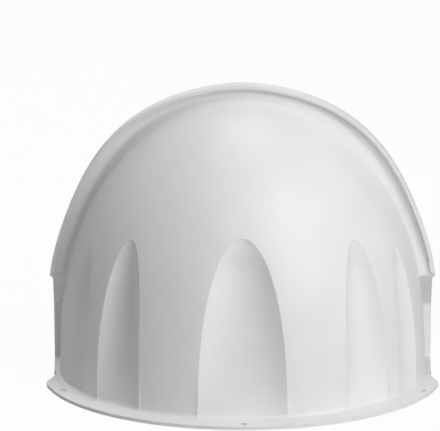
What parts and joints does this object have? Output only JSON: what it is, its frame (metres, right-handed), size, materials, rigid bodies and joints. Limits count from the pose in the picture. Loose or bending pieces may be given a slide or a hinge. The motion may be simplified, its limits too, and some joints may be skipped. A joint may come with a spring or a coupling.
{
  "type": "camera sun shield",
  "caption": "One-piece moulded hood that shades a wall-mounted camera: a fluted half dome with a gutter rim, short cheeks and a wall flange with screw holes.",
  "frame": {"origin": "in the wall plane, midway between the two side screw holes of the flange", "axes": "+Z points out from the wall; -Y is the side that faces the sky; the hood is open towards +Y; X runs across the width and the part is symmetric about X = 0"},
  "size_m": [0.3002, 0.1965, 0.2327],
  "materials": {
    "shell_plastic": "satin white moulded plastic"
  },
  "bodies": {
    "root": {"sun_shield": "shell_plastic"}
  },
  "joints": []
}
